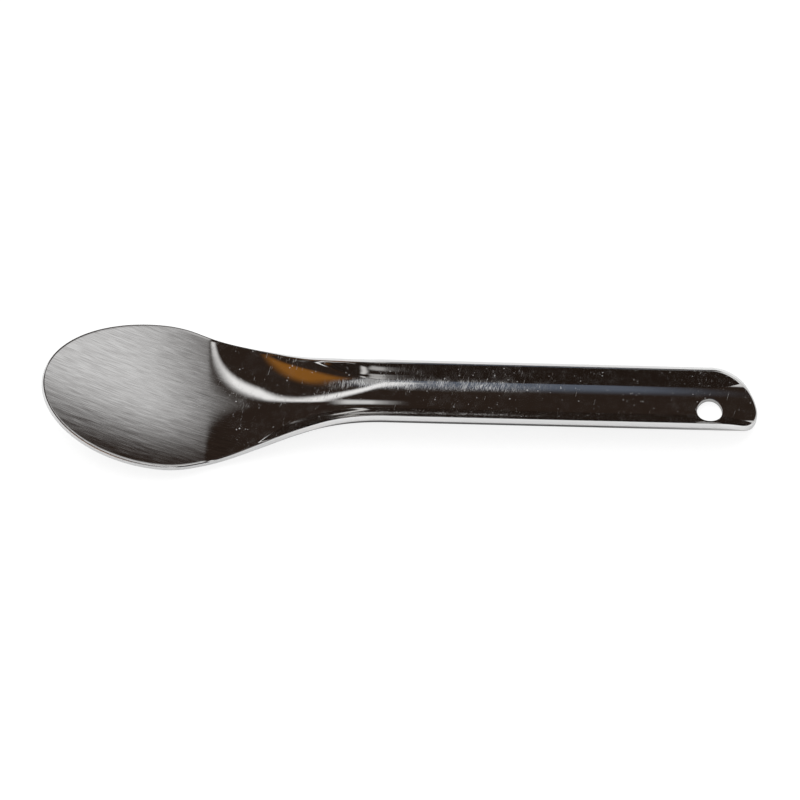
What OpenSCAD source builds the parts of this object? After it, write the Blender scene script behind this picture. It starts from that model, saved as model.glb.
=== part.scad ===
// Ice cream spade: one piece pressed from a single sheet of stainless steel.
// An oval, slightly dished blade narrows through a neck into a gutter handle
// that lies open side up and has one round hanging hole near its rounded end.
//
// Millimetres. +X runs from the blade to the end of the handle, +Z is up.
// The piece lies on the table as it would come to rest: on the heel of the
// blade and on the end of the handle. Origin: below the middle of its length.

/* [Sheet] */

// Tip of the blade to the end of the handle
overall_length = 240; // [200:1:300]
// Thickness of the sheet
sheet_t = 1.8; // [1.2:0.1:2.4]
// Rounding of both corners of the cut edge
edge_round = 0.5; // [0.2:0.05:0.55]

/* [Blade] */

// Greatest width of the blade
blade_width = 55.5; // [44:0.5:66]
// Tip to the widest place, the front half of the oval
oval_front = 39.7; // [30:0.1:48]
// Length of the back half of the oval, were it whole
oval_back = 31.5; // [26:0.1:36]
// Radius of the shallow dish, the same along and across
dish_radius = 185; // [140:5:260]
// Tip to the heel, the lowest place of the blade
heel_from_tip = 72.5; // [64:0.5:80]

/* [Neck] */

// Angle of the straight flank between the oval and the neck
flank_angle = 18.3; // [16.5:0.1:20.5]
// Radius of the hollow side of the neck, seen from above
neck_radius = 104; // [80:1:120]
// Tip to where the sheet starts to fold up out of the dish
fold_start = 54.5; // [48:0.5:62]
// Tip to where the gutter has its full fold
fold_end = 115; // [106:0.5:126]
// Tip to where the underside runs straight to the end of the handle
neck_end = 111.5; // [104:0.5:122]

/* [Handle] */

// Width of the gutter over its two upper edges
handle_width = 24; // [22.8:0.1:26]
// Inside radius of the bottom of the gutter
gutter_radius = 9.2; // [8.2:0.1:9.8]
// Slope of the straight side walls, from the flat
wall_angle = 66; // [60:0.5:70]
// Slope of the handle down to its end
handle_pitch = 0.95; // [0.5:0.05:1.6]
// Length of the rounded end, measured along the handle
end_length = 15.3; // [12:0.1:20]
// Fullness of the rounded end: 2 is an ellipse
end_fullness = 1.72; // [1.6:0.02:2.2]

/* [Hanging hole] */

// Diameter of the hole
hole_diameter = 8.5; // [5:0.1:10]
// Centre of the hole to the end of the handle
hole_from_end = 16.1; // [14:0.1:24]

/* [Fineness] */

// Steps around the front of the oval
steps_tip = 20; // [12:1:22]
// Steps along the back of the oval and the neck
steps_neck = 34; // [20:1:36]
// Steps along the straight handle
steps_handle = 10; // [6:1:14]
// Steps around the rounded end
steps_end = 16; // [10:1:18]
// Steps across the sheet, edge to edge
steps_across = 24; // [16:2:26]
// Steps in each rounded corner of the edge
steps_corner = 2; // [1:1:3]

/* [Hidden] */

half = sheet_t / 2;
mid_r = gutter_radius + half;
blade_half = blade_width / 2;
// half width of the handle, measured in the middle of the sheet
handle_half = handle_width / 2 - half * sin(wall_angle);

// where the oval hands over to the straight flank
flank_turn = atan(tan(flank_angle) * oval_back / blade_half);
flank_x = oval_front + oval_back * sin(flank_turn);
flank_y = blade_half * cos(flank_turn);
// where the flank hands over to the hollow arc, and the arc to the handle
arc_y = handle_half + neck_radius * (1 - cos(flank_angle));
arc_x = flank_x + (flank_y - arc_y) / tan(flank_angle);
handle_x = arc_x + neck_radius * sin(flank_angle);
end_x = overall_length - end_length;

// 0 to 1 with a soft start and a soft stop
function ease(u) = let (c = max(0, min(1, u))) c * c * (3 - 2 * c);

// half width of the piece seen from above, x from the tip
function plan_half(x) =
    x < oval_front ? blade_half * sqrt(max(0, 1 - pow(1 - x / oval_front, 2))) :
    x < flank_x ? blade_half * sqrt(1 - pow((x - oval_front) / oval_back, 2)) :
    x < arc_x ? flank_y - (x - flank_x) * tan(flank_angle) :
    x < handle_x ? handle_half + neck_radius - sqrt(pow(neck_radius, 2) - pow(handle_x - x, 2)) :
    handle_half;

// radius of the fold across the sheet: the wide dish, then the gutter
function fold_r(x) =
    1 / (1 / dish_radius + (1 / mid_r - 1 / dish_radius)
         * ease((x - fold_start) / (fold_end - fold_start)));

// height of the middle of the sheet along the centre line
function keel(x) =
    half + (x < heel_from_tip ? pow(heel_from_tip - x, 2) / (2 * dish_radius) :
    (overall_length - x) * tan(handle_pitch)
        * ease((x - heel_from_tip) / (neck_end - heel_from_tip)));

// half width of the flat blank that folds up to the half width w
function blank_half(x, w) =
    let (r = fold_r(x), reach = r * sin(wall_angle))
    w < reach ? r * asin(w / r) * PI / 180 :
    r * wall_angle * PI / 180 + (w - reach) / cos(wall_angle);

// the middle of the sheet: x from the tip, s across the blank
function sheet(x, s) =
    let (r = fold_r(x), a = abs(s), bend = r * wall_angle * PI / 180,
         turn = min(a, bend) / r * 180 / PI, wall = max(0, a - bend),
         y = r * sin(turn) + wall * cos(wall_angle))
    [x, s < 0 ? -y : y, keel(x) + r * (1 - cos(turn)) + wall * sin(wall_angle)];

function unit(v) = v / norm(v);
d = 0.02;
function along(x, s) = unit(sheet(x + d, s) - sheet(x - d, s));
function across(x, s) = unit(sheet(x, s + d) - sheet(x, s - d));
function up(x, s) = unit(cross(along(x, s), across(x, s)));

// outline of the flat blank on one side, tip to end, as [x, s]
outline = concat(
    [for (i = [0 : steps_tip - 1])
        let (a = 90 * i / steps_tip, x = oval_front * (1 - cos(a))) [x, blank_half(x, plan_half(x))]],
    [for (i = [0 : steps_neck - 1])
        let (x = oval_front + (fold_end - oval_front) * i / steps_neck) [x, blank_half(x, plan_half(x))]],
    [for (i = [0 : steps_handle - 1])
        let (x = fold_end + (end_x - fold_end) * i / steps_handle) [x, blank_half(x, plan_half(x))]],
    [for (i = [0 : steps_end])
        let (a = 90 * i / steps_end,
             x = end_x + end_length * pow(sin(a), 2 / end_fullness))
        [x, blank_half(end_x, handle_half) * pow(max(0, cos(a)), 2 / end_fullness)]]);
last = len(outline) - 1;

// outward direction of the outline in the flat blank
function outward(i) =
    i == 0 ? [-1, 0] : i == last ? [1, 0] :
    let (t = unit(outline[i + 1] - outline[i - 1])) [-t[1], t[0]];

// one rounded edge, from the upper face round to the lower face
corner = [for (k = [1 : steps_corner]) 90 * k / steps_corner];
edge_shape = concat([[0, half]],
    [for (a = corner) edge_round * [sin(a), cos(a)] + [0, half - edge_round]],
    [for (k = [steps_corner : -1 : 1])
        let (a = corner[k - 1]) [edge_round * sin(a), edge_round - half - edge_round * cos(a)]],
    [[0, -half]]);
rows = len(edge_shape);

// points of the edge at place i, side 1 or -1
function edge_points(i, side) =
    let (o = outward(i), q = outline[i] - edge_round * o, s = side * q[1],
         base = sheet(q[0], s), n = up(q[0], s),
         e = unit(along(q[0], s) * o[0] + across(q[0], s) * o[1] * side))
    [for (p = edge_shape) base + e * p[0] + n * p[1]];

// a closed loop around the sheet at place i
function ring(i) =
    let (q = outline[i] - edge_round * outward(i), right = edge_points(i, 1), left = edge_points(i, -1))
    concat(
        [for (j = [0 : steps_across])
            let (s = q[1] * (2 * j / steps_across - 1)) sheet(q[0], s) + half * up(q[0], s)],
        [for (k = [1 : rows - 2]) right[k]],
        [for (j = [steps_across : -1 : 0])
            let (s = q[1] * (2 * j / steps_across - 1)) sheet(q[0], s) - half * up(q[0], s)],
        [for (k = [rows - 2 : -1 : 1]) left[k]]);

around = 2 * (steps_across + 1) + 2 * (rows - 2);

// at the tip and at the end the loop closes up into a single edge curve;
// this gives the point of that curve that loop point j meets
function closing(j) =
    j <= steps_across ? 0 :
    j <= steps_across + rows - 2 ? j - steps_across :
    j <= 2 * steps_across + rows - 1 ? rows - 1 :
    around - j;

spade_points = concat(edge_points(0, 1), [for (i = [1 : last - 1]) each ring(i)], edge_points(last, 1));
function loop_index(i, j) =
    let (m = j % around)
    i == 0 ? closing(m) :
    i == last ? rows + (last - 1) * around + closing(m) :
    rows + (i - 1) * around + m;
spade_faces = [for (i = [0 : last - 1]) for (j = [0 : around - 1])
    let (a = loop_index(i, j), b = loop_index(i, j + 1),
         c = loop_index(i + 1, j + 1), e = loop_index(i + 1, j))
    each concat(a != b && b != c ? [[a, b, c]] : [], c != e && e != a ? [[a, c, e]] : [])];

module spade() {
    color("silver")
    translate([-overall_length / 2, 0, 0])
    difference() {
        polyhedron(points = spade_points, faces = spade_faces, convexity = 6);
        translate([overall_length - hole_from_end, 0, -5])
            cylinder(d = hole_diameter, h = sheet_t + 15, $fn = 64);
    }
}

spade();
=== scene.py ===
from math import cos, pi, radians, sin

import bpy
from mathutils import Matrix, Vector


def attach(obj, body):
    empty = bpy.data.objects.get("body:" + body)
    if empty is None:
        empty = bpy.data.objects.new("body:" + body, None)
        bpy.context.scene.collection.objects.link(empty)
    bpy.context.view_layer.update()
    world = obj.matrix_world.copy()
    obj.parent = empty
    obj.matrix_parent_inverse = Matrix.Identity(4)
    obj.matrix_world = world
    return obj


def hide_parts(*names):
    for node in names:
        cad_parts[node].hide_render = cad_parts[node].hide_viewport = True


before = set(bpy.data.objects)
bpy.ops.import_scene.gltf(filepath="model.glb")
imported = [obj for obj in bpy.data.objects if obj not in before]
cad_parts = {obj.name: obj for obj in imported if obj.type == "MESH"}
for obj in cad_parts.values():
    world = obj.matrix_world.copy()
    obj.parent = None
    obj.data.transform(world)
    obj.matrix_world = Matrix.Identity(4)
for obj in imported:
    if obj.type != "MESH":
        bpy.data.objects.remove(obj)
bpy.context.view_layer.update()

scene = bpy.context.scene

# The spade is one piece of stainless steel. A flat blank is cut out and its
# hanging hole pierced, its edges are tumbled round, and one press stroke
# dishes the blade and folds the rest up into the open gutter of the handle.


class Flow:
    """A socket of a node tree. Arithmetic on flows adds Math nodes to that tree."""

    def __init__(self, socket):
        self.socket = socket

    def add(self, kind, sockets=None, out=0, **settings):
        """Adds any other node: its settings first, then the values or links of its sockets."""
        node = self.socket.id_data.nodes.new(kind)
        for name, value in settings.items():
            setattr(node, name, value)
        for key, value in (sockets or {}).items():
            for one in value if isinstance(value, list) else [value]:
                if isinstance(one, Flow):
                    self.socket.id_data.links.new(one.socket, node.inputs[key])
                else:
                    node.inputs[key].default_value = one
        return Flow(node.outputs[out])

    def math(self, operation, *others, **settings):
        return self.add("ShaderNodeMath", dict(enumerate((self, *others))), operation=operation, **settings)

    def before(self, operation, other):
        """The same with the other value first."""
        return self.add("ShaderNodeMath", {0: other, 1: self}, operation=operation)

    def __add__(self, other): return self.math("ADD", other)
    def __radd__(self, other): return self.before("ADD", other)
    def __sub__(self, other): return self.math("SUBTRACT", other)
    def __rsub__(self, other): return self.before("SUBTRACT", other)
    def __mul__(self, other): return self.math("MULTIPLY", other)
    def __rmul__(self, other): return self.before("MULTIPLY", other)
    def __truediv__(self, other): return self.math("DIVIDE", other)
    def __rtruediv__(self, other): return self.before("DIVIDE", other)
    def __pow__(self, other): return self.math("POWER", other)
    def __lt__(self, other): return self.math("LESS_THAN", other)
    def __abs__(self): return self.math("ABSOLUTE")
    def least(self, other): return self.math("MINIMUM", other)
    def most(self, other): return self.math("MAXIMUM", other)
    def share(self): return self.math("ADD", 0, use_clamp=True)
    def sine(self): return self.math("SINE")
    def cosine(self): return self.math("COSINE")
    def root(self): return self.math("SQRT")

    def pick(self, yes, no):
        """yes where this flow is 1, no where it is 0."""
        return no + (yes - no) * self

    def ease(self, start, stop, low=0, high=1):
        """A soft step from low, up to start, to high, from stop on."""
        return self.add("ShaderNodeMapRange", {0: self, 1: start, 2: stop, 3: low, 4: high},
                        interpolation_type="SMOOTHSTEP")

    def vector(self, operation, other):
        return self.add("ShaderNodeVectorMath", {0: self, 1: other}, operation=operation)

    def parts(self):
        return [self.add("ShaderNodeSeparateXYZ", {0: self}, out=k) for k in range(3)]


# sizes of the blank and of the press tool, in metres and radians
sizes = {
    "Overall length": 0.240, "Sheet": 0.0018, "Edge rounding": 0.0005,
    "Blade width": 0.0555, "Front of the oval": 0.0397, "Back of the oval": 0.0315,
    "Dish radius": 0.185, "Heel from the tip": 0.0725,
    "Flank angle": radians(18.3), "Neck radius": 0.104, "Fold start": 0.0545,
    "Fold end": 0.115, "Neck end": 0.1115,
    "Handle width": 0.024, "Gutter radius": 0.0092, "Wall angle": radians(66),
    "Handle pitch": radians(0.95), "Length of the end": 0.0153, "Fullness of the end": 1.72,
    "Hole": 0.0085, "Hole from the end": 0.0161, "Hole rounding": 0.0002,
}
counts = {
    "Rows round the tip": 56, "Rows along": 336, "Rows round the end": 40,
    "Steps across": 56, "Steps in a corner": 4, "Cells beside the hole": 13, "Rings round the hole": 12,
}

press = bpy.data.node_groups.new("Pressed sheet", "GeometryNodeTree")
for name in sizes:
    press.interface.new_socket(name=name, in_out="INPUT", socket_type="NodeSocketFloat")
for name in counts:
    press.interface.new_socket(name=name, in_out="INPUT", socket_type="NodeSocketInt")
press.interface.new_socket(name="Finish", in_out="INPUT", socket_type="NodeSocketMaterial")
press.interface.new_socket(name="Geometry", in_out="OUTPUT", socket_type="NodeSocketGeometry")
entry = press.nodes.new("NodeGroupInput")
(length, sheet, rounding, width, front, back, dish, heel, flank, hollow, fold_from, fold_to,
 run, handle_width, gutter, wall, pitch, end_length, fullness, hole, hole_back, hole_round,
 tip_rows, long_rows, end_rows, across, corner, beside, rings, finish) = map(Flow, entry.outputs[:-1])

half = sheet / 2
middle_r = gutter + half
blade_half = width / 2
handle_half = handle_width / 2 - half * wall.sine()
end_x = length - end_length
end_power = 2 / fullness

# where the oval, the straight flank and the hollow of the neck meet
flank_slope = flank.math("TANGENT")
flank_turn = (flank_slope * back / blade_half).math("ARCTANGENT")
flank_x = front + back * flank_turn.sine()
flank_y = blade_half * flank_turn.cosine()
arc_x = flank_x + (flank_y - handle_half - hollow * (1 - flank.cosine())) / flank_slope
handle_x = arc_x + hollow * flank.sine()


def fold_radius(x):
    return 1 / (1 / dish + (1 / middle_r - 1 / dish) * x.ease(fold_from, fold_to))


def blank_outline(row):
    """A point of the blank's outline: its distance from the tip and from the centre line."""
    tip_turn = row.least(tip_rows) / tip_rows * (pi / 2)
    end_turn = (row - tip_rows - long_rows).most(0) / end_rows * (pi / 2)
    x = (front * (1 - tip_turn.cosine()) + (end_x - front) * ((row - tip_rows) / long_rows).share()
         + end_length * end_turn.sine() ** end_power)
    past = (x - front).most(0) / back
    oval = blade_half * tip_turn.sine() * (1 - past * past).root()
    line = flank_y - (x - flank_x) * flank_slope
    short = (handle_x - x).most(0)
    arc = handle_half + hollow - (hollow * hollow - short * short).root()
    plan = (x < flank_x).pick(oval, (x < arc_x).pick(line, arc))
    r = fold_radius(x)
    reach = r * wall.sine()
    bent = r * (plan.least(reach) / r).math("ARCSINE")
    return x, (bent + (plan - reach).most(0) / wall.cosine()) * end_turn.cosine() ** end_power


def rounded_edge(step, radius):
    """How far out and how high each step round an edge lies, from the upper face to the lower."""
    turn = ((step / corner).share() + ((step - corner - 1) / corner).share()) * (pi / 2)
    below = (step - corner).share()
    return radius * turn.sine(), (half - radius) * (1 - 2 * below) + radius * turn.cosine()


def folded(x, s):
    """The middle of the pressed sheet, for a place on the flat blank."""
    r = fold_radius(x)
    a = abs(s)
    bend = r * wall
    turn = a.least(bend) / r
    straight = (a - bend).most(0)
    up = (turn / 2).sine()
    short = (heel - x).most(0)
    keel = half + short * short / (2 * dish) + (length - x) * pitch.math("TANGENT") * x.ease(heel, run)
    y = (r * turn.sine() + straight * wall.cosine()) * s.math("SIGN")
    z = keel + 2 * r * up * up + straight * wall.sine()
    return s.add("ShaderNodeCombineXYZ", {0: x - length / 2, 1: y, 2: z})


# the blank: loops of points round the sheet, one loop at each row along it
steps_round = 2 * corner + 1
rows = tip_rows + long_rows + end_rows
loop = 2 * (across + steps_round)
grid = length.add("GeometryNodeMeshGrid", {0: rows, 1: loop, 2: rows + 1, 3: loop + 1})
place = length.add("GeometryNodeInputPosition")
place_x, place_y, place_z = place.parts()
row = place_x + rows / 2
step = place_y + loop / 2
edge_step = (step - across).most(0).least(steps_round) - (step - 2 * across - steps_round).most(0)
side = 2 * ((step / across).share() - ((step - across - steps_round) / across).share()) - 1
out, high = rounded_edge(edge_step, rounding)
x, s = blank_outline(row)
(x_before, s_before), (x_after, s_after) = blank_outline(row - 0.1), blank_outline(row + 0.1)
step_x, step_s = x_after - x_before, s_after - s_before
step_length = (step_x * step_x + step_s * step_s).root()
blank_place = place.add("ShaderNodeCombineXYZ", {
    0: x + (rounding - out) * step_s / step_length,
    1: (s - (rounding - out) * step_x / step_length) * side,
    2: high})

# the hole: the cells around it give way to rings that run from their border to its rim
hole_x = length - hole_back
hole_row = tip_rows + ((hole_x - front) / (end_x - front) * long_rows).math("ROUND")
near = (abs(row - hole_row) < beside) * (
    (abs(step - across / 2) < beside).most(abs(step - across * 1.5 - steps_round) < beside))
whole = grid.add("GeometryNodeSetPosition", {0: grid, 2: blank_place})
pierced = grid.add("GeometryNodeDeleteGeometry", {0: grid, 1: near}, domain="FACE")
# the edge of the sheet is marked for its finish, the bore of the hole isn't: it stays polished
pierced = grid.add("GeometryNodeStoreNamedAttribute", {0: pierced, 2: "rim", 3: out / rounding},
                   data_type="FLOAT", domain="POINT")
pierced = grid.add("GeometryNodeSetPosition", {0: pierced, 2: blank_place})

ring_cells = 8 * beside
ring_steps = 2 * rings + steps_round
collar = grid.add("GeometryNodeMeshGrid", {0: ring_cells, 1: ring_steps, 2: ring_cells + 1, 3: ring_steps + 1})
turn = (place_x + ring_cells / 2) / (2 * beside)
inner = place_y + ring_steps / 2
to_row, to_step = ((2 - 2 * (turn + start).math("PINGPONG", 2)).least(1).most(-1) * beside for start in (0, 3))
border = grid.add("GeometryNodeSampleIndex", {
    0: whole, 1: place,
    2: (hole_row + to_row).math("ROUND") * (loop + 1) + (across / 2 + to_step).math("ROUND")},
    data_type="FLOAT_VECTOR", domain="POINT")
border_x, border_s, border_high = border.parts()
about = border_s.math("ARCTAN2", border_x - hole_x)
in_bore, ring_high = rounded_edge((inner - rings).most(0).least(steps_round), hole_round)
ring_r = hole / 2 + hole_round - in_bore
inward = (inner / rings).share() - ((inner - rings - steps_round) / rings).share()
ring_x = hole_x + ring_r * about.cosine()
ring_s = middle_r * (ring_r * about.sine() / (middle_r - ring_high)).math("ARCSINE")
collar = grid.add("GeometryNodeSetPosition", {0: collar, 2: place.add("ShaderNodeCombineXYZ", {
    0: inward.pick(ring_x, border_x), 1: inward.pick(ring_s, border_s), 2: ring_high})})
flat = grid.add("GeometryNodeJoinGeometry", {0: [pierced, collar]})
flat = grid.add("GeometryNodeMergeByDistance", {0: flat, 2: 1e-6})

# the press stroke: every point of the flat blank goes to its place on the folded sheet
near_by = 0.0001
along = folded(place_x + near_by, place_y).vector("SUBTRACT", folded(place_x - near_by, place_y))
sideways = folded(place_x, place_y + near_by).vector("SUBTRACT", folded(place_x, place_y - near_by))
normal = along.vector("CROSS_PRODUCT", sideways)
normal = normal.add("ShaderNodeVectorMath", {0: normal}, operation="NORMALIZE")
lift = normal.add("ShaderNodeVectorMath", {0: normal, 3: place_z}, operation="SCALE")
pressed = grid.add("GeometryNodeSetPosition", {0: flat, 2: folded(place_x, place_y).vector("ADD", lift)})
pressed = grid.add("GeometryNodeSetShadeSmooth", {0: pressed, 2: True})
pressed = grid.add("GeometryNodeRealizeInstances", {0: pressed})
pressed = grid.add("GeometryNodeSetMaterial", {0: pressed, 2: finish})
leave = press.nodes.new("NodeGroupOutput")
press.links.new(pressed.socket, leave.inputs[0])

# The blade is brushed by hand in one slanting direction, the neck and the handle
# are polished, and use has left scratches, dust and a frosted line on them.


def material(name):
    """An empty material, a flow of its Object coordinates and the socket of its surface."""
    made = bpy.data.materials.new(name)
    made.use_nodes = True
    made.node_tree.nodes.clear()
    start = Flow(made.node_tree.nodes.new("ShaderNodeTexCoord").outputs["Object"])
    end = made.node_tree.nodes.new("ShaderNodeOutputMaterial")
    return made, start, end.inputs["Surface"]


def finish_with(shader, surface):
    shader.socket.id_data.links.new(shader.socket, surface)


def over(under, colour, where):
    """Lays a colour over what is there, as far as the mask says."""
    colour = colour if isinstance(colour, Flow) else (*colour, 1)
    under = under if isinstance(under, Flow) else (*under, 1)
    return where.add("ShaderNodeMix", {0: where, 6: under, 7: colour}, out=2, data_type="RGBA")


steel, spot, surface = material("brushed_and_polished_steel")
steel_x, steel_y, steel_z = spot.parts()
rim = spot.add("ShaderNodeAttribute", out=2, attribute_name="rim").ease(0.5, 0.95)


def lines(lean, long, thick, detail=2):
    """Noise drawn out into lines, from 0 to 1; lean is their slope, down towards the handle's end."""
    lean = radians(lean)
    grain = spot.add("ShaderNodeCombineXYZ", {
        0: (steel_x * cos(lean) - steel_y * sin(lean)) / long,
        1: (steel_x * sin(lean) + steel_y * cos(lean)) / thick,
        2: steel_z / long})
    return spot.add("ShaderNodeTexNoise", {0: grain, 2: 1, 3: detail, 4: 0.6})


def cloud(size, detail=2):
    return spot.add("ShaderNodeTexNoise", {0: spot, 2: 1 / size, 3: detail, 4: 0.55})


# the cut edges are tumbled: a pale, matt skin that hides most of the metal's mirror
tumbled_colour = (0.95, 0.95, 0.95)
tumbled = rim * 0.85
tumbled_roughness = rim * 0.3

# the brushed blade, up to a ragged slanting line across the start of the neck
ragged = (lines(14, 0.030, 0.0016) - 0.5) * 0.018
brushing = (steel_x + steel_y * 0.3 + ragged).ease(-0.055, -0.067)
fine = lines(15, 0.006, 0.00016)
coarse = lines(17, 0.006, 0.0003)
waves = lines(13, 0.012, 0.0025, detail=1)
valley_colour, crest_colour = (0.5, 0.49, 0.485), (0.8, 0.795, 0.79)
smooth, rough = 0.03, 0.1
fine_depth, coarse_depth, wave_depth = 0.000003, 0.000004, 0.00002
tilt_of_strokes = 0.025
sway = spot.add("ShaderNodeNewGeometry", out="Normal").vector(
    "ADD", spot.add("ShaderNodeCombineXYZ", {0: (coarse - 0.5) * tilt_of_strokes}))
strokes = fine * fine_depth + coarse * coarse_depth + waves * wave_depth
brushed_normal = spot.add("ShaderNodeBump", {0: 1, 1: 1, 3: strokes, 4: sway})
brushed = spot.add("ShaderNodeBsdfPrincipled", {
    0: over(over(valley_colour, crest_colour, fine.ease(0.3, 0.7)), tumbled_colour, rim),
    1: 1 - tumbled,
    2: coarse.ease(0.3, 0.7, smooth, rough) + tumbled_roughness,
    5: brushed_normal})

# wear on the polished part: scuffs where the far wall turns up out of the gutter's
# bottom, with a frosted line along the fold, and single scratches and dust anywhere
fold_line = steel_y.ease(0.0035, 0.0065) * steel_y.ease(0.0108, 0.009) * steel_x.ease(-0.012, 0.004)
fold_wear = fold_line * cloud(0.006, 3).ease(0.3, 0.6) * steel_x.ease(0.09, 0.03)
worn = (cloud(0.011, 3).ease(0.45, 0.7) * 0.5 + fold_wear).share()
scuffs = lines(-66, 0.003, 0.0002).ease(0.62, 0.72) * worn
long_scratches = lines(-74, 0.006, 0.00016).ease(0.72, 0.76)
scratch = (scuffs + long_scratches).share()
frosted_across = steel_y.ease(0.0042, 0.0062) * steel_y.ease(0.0080, 0.0066)
frosted_along = steel_x.ease(-0.028, -0.016) * steel_x.ease(0.055, 0.025)
frost = (frosted_across * frosted_along * cloud(0.004, 3).ease(0.3, 0.55)
         * lines(-72, 0.0016, 0.0002).ease(0.43, 0.6)).share()
haze = cloud(0.003, 5).ease(0.4, 0.8) * (worn * 0.7 + 0.3)
grains_per_metre = 800
dust = spot.add("ShaderNodeTexVoronoi", {0: spot, 2: grains_per_metre, 8: 1})
grains = (dust.ease(0.26, 0.14) * cloud(0.0018, 1).ease(0.56, 0.66) * (worn * 1.4 + 0.35)).share()

polished_colour = (0.66, 0.65, 0.64)
polished_roughness = 0.04
ripple_depth, scratch_depth = 0.000003, 0.000012
dulled = (grains * 0.7 + scratch * 0.2 + frost * 0.9 + haze * 0.05).share()
polished_normal = spot.add("ShaderNodeBump", {
    0: 1, 1: 1, 3: cloud(0.0012) * ripple_depth + scratch * scratch_depth})
polished = spot.add("ShaderNodeBsdfPrincipled", {
    0: over(polished_colour, tumbled_colour, rim.most(grains).most(frost)),
    1: 1 - tumbled.most(dulled),
    2: polished_roughness + haze * 0.12 + scratch * 0.3 + tumbled_roughness,
    5: polished_normal})
finish_with(spot.add("ShaderNodeMixShader", {0: brushing, 1: polished, 2: brushed}), surface)

spade = bpy.data.objects.new("spade_steel", bpy.data.meshes.new("spade_steel"))
scene.collection.objects.link(spade)
stroke = spade.modifiers.new("Press", "NODES")
stroke.node_group = press
for item in press.interface.items_tree:
    if item.in_out == "INPUT":
        stroke[item.identifier] = {**sizes, **counts, "Finish": steel}[item.name]
graph = bpy.context.evaluated_depsgraph_get()
sheet_mesh = bpy.data.meshes.new_from_object(
    spade.evaluated_get(graph), preserve_all_data_layers=True, depsgraph=graph)
spade.modifiers.clear()
spade.data = sheet_mesh
sheet_mesh.materials.clear()
sheet_mesh.materials.append(steel)
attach(spade, "root")
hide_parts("spade")

# A plain studio stands around the spade: a dark cloth overhead, a white soft light,
# four cards, and pale walls at both ends and behind. Only the steel shows them:
# they light nothing else and cast no shadow.
ceiling, left_end, right_end, side = 0.15, -2.5, 1, 3
cards_mesh = bpy.data.meshes.new("cards")
cards_mesh.from_pydata(
    [(x, y, z) for z in (ceiling, 0) for x, y in ((left_end, -side), (right_end, -side),
                                                  (right_end, side), (left_end, side))], [],
    [(0, 1, 2, 3), (0, 1, 5, 4), (1, 2, 6, 5), (2, 3, 7, 6), (3, 0, 4, 7)])
cards = bpy.data.objects.new("cards", cards_mesh)
scene.collection.objects.link(cards)
cards.visible_camera = cards.visible_diffuse = cards.visible_shadow = False
paint, place, surface = material("studio_cards")
cards_mesh.materials.append(paint)
cards_x, cards_y, cards_z = place.parts()
# millimetres from the spade's tip, and degrees from straight above, positive behind
along_cards = cards_x * 1000 + 120
across_cards = cards_y.math("ARCTAN2", cards_z) * (180 / pi)


def card(left, right, front, back, soft=20, slant=0):
    """1 on a soft-edged card that reaches from left to right and from front to back."""
    from_middle = abs(along_cards - (left + right) / 2 - across_cards * slant)
    from_centre = abs(across_cards - (front + back) / 2)
    reach_along, reach_across = (right - left) / 2, (back - front) / 2
    return (from_middle.ease(reach_along + soft / 2, reach_along - soft / 2)
            * from_centre.ease(reach_across + soft / 4, reach_across - soft / 4))


dark_cloth, warm_card, cool_card = (0.03, 0.02, 0.015), (0.3, 0.12, 0.02), (0.12, 0.14, 0.18)
grey_card, pale_card, soft_white = (0.4, 0.4, 0.4), (0.8, 0.8, 0.8), (1.2, 1.2, 1.2)
# the wall past the tip widens away from it; the others stand past the handle and behind the blade
tip_wall = (along_cards + abs(cards_y) * 430).ease(-50, -90) * across_cards.ease(-80, -66)
behind = card(-2600, 205, 36, 68, 24, -5.5)
walls = (tip_wall + along_cards.ease(290, 340) + behind).share()
light = over(dark_cloth, warm_card, card(-60, 40, -60, -20, 40))
light = over(light, cool_card, card(70, 240, -90, -40, 60))
light = over(light, grey_card, card(66, 124, -90, -44, 34))
light = over(light, pale_card, card(77, 118, 18, 35, 20))
light = over(light, soft_white, card(70, 86, -60, 25, 12, -0.8))
light = over(light, pale_card, walls)
finish_with(place.add("ShaderNodeEmission", {0: light, 1: 1}), surface)

# The spade lies on a plain white table in soft light. The table and the
# surroundings are white to the camera and in the steel, and keep the shadow.
table_mesh = bpy.data.meshes.new("table")
half_table = 4
table_mesh.from_pydata([(x * half_table, y * half_table, 0) for x, y in ((-1, -1), (1, -1), (1, 1), (-1, 1))],
                       [], [(0, 1, 2, 3)])
table = bpy.data.objects.new("table", table_mesh)
scene.collection.objects.link(table)
white, place, surface = material("white_table")
table_mesh.materials.append(white)
table_x, table_y = place.parts()[:2]


def seen_directly(start):
    """1 for what the camera sees directly, and 1 for what it sees in steel or through glass."""
    camera, mirror, glass = (start.add("ShaderNodeLightPath", out=f"Is {ray} Ray")
                             for ray in ("Camera", "Glossy", "Transmission"))
    return camera, (mirror + glass).share()


camera_ray, mirror_ray = seen_directly(place)
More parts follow.
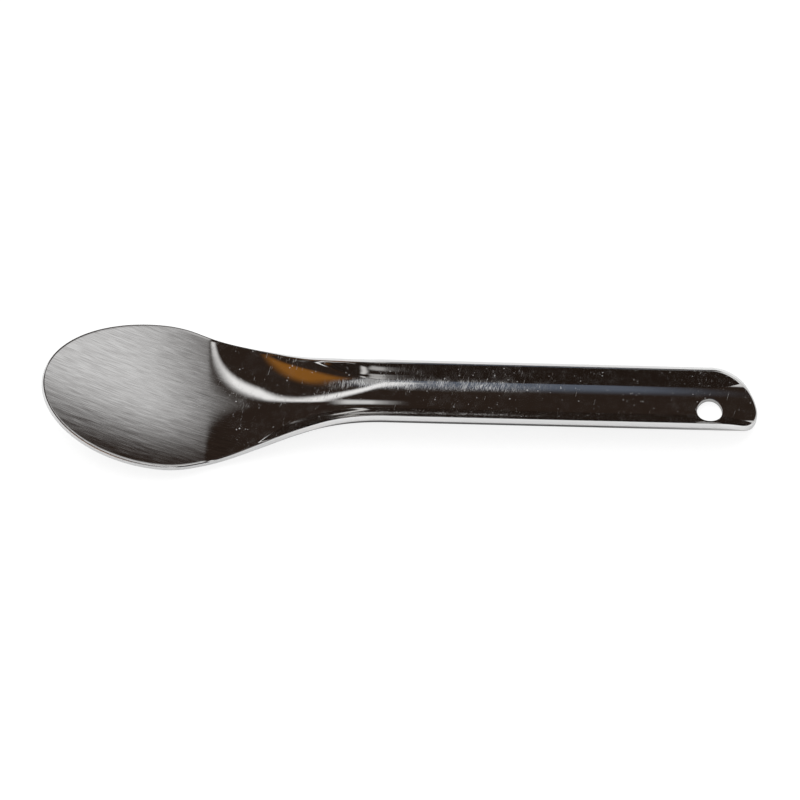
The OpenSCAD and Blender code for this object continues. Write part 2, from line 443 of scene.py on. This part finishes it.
# the steel mirrors the white of the table around the spade, with a painted shadow: no glow in a soft box
# under the spade, and none from the far table, which would draw a white line on the neck's walls
painted_shadow_half_length, painted_shadow_half_width = 0.15, 0.035
# painted shadow: 0 in a soft box under the spade, 1 beyond it
glow_outside_painted_shadow = (abs(table_x) / painted_shadow_half_length).most(abs(table_y) / painted_shadow_half_width).ease(0.4, 1.2)
close_by = abs(table_x).most(abs(table_y)).ease(1.2, 0.4)
table_glow, table_grey = 0.8, 0.35
glow = place.add("ShaderNodeEmission", {
    0: (1, 1, 1, 1), 1: (camera_ray + mirror_ray * (glow_outside_painted_shadow * close_by)) * table_glow})
matt = place.add("ShaderNodeBsdfDiffuse", {0: (table_grey, table_grey, table_grey, 1)})
finish_with(place.add("ShaderNodeAddShader", {0: glow, 1: matt}), surface)

sun = bpy.data.objects.new("sun", bpy.data.lights.new("sun", "SUN"))
sun.data.energy = 1.0
sun.data.angle = radians(60)
sun.visible_glossy = False
sun.rotation_euler = (radians(-20), radians(-15), 0)
scene.collection.objects.link(sun)
world = bpy.data.worlds.new("studio")
scene.world = world
world.use_nodes = True
sky = Flow(world.node_tree.nodes.new("ShaderNodeLightPath").outputs[0])
camera_ray, mirror_ray = seen_directly(sky)
soft_light = 0.6
backdrop = sky.add("ShaderNodeBackground", {
    0: (1, 1, 1, 1), 1: (camera_ray + mirror_ray).share() * (1 - soft_light) + soft_light})
finish_with(backdrop, world.node_tree.nodes["World Output"].inputs["Surface"])

# The camera looks down on the spade from the front, as the photograph's does.
azimuth, elevation, roll = radians(-0.04), radians(59.476), radians(0.961)
away = 1.4
image_width = 800
pixel = 1 / 2976  # metres at the spade
back_axis = Vector((sin(azimuth) * cos(elevation), -cos(azimuth) * cos(elevation), sin(elevation)))
level = Vector((cos(azimuth), sin(azimuth), 0))
rise = back_axis.cross(level)
right_axis = level * cos(roll) + rise * sin(roll)
up_axis = rise * cos(roll) - level * sin(roll)
pixels_left, pixels_up = 1.126, 1.916
aim = Vector((0, 0, 0.005)) - right_axis * pixels_left * pixel + up_axis * pixels_up * pixel
camera = bpy.data.objects.new("camera", bpy.data.cameras.new("camera"))
camera.data.sensor_width = 36
camera.data.lens = camera.data.sensor_width * away / (image_width * pixel)
camera.matrix_world = Matrix.Translation(aim + back_axis * away) @ Matrix(
    (right_axis, up_axis, back_axis)).transposed().to_4x4()
scene.collection.objects.link(camera)
scene.camera = camera
scene.view_settings.view_transform = "Standard"
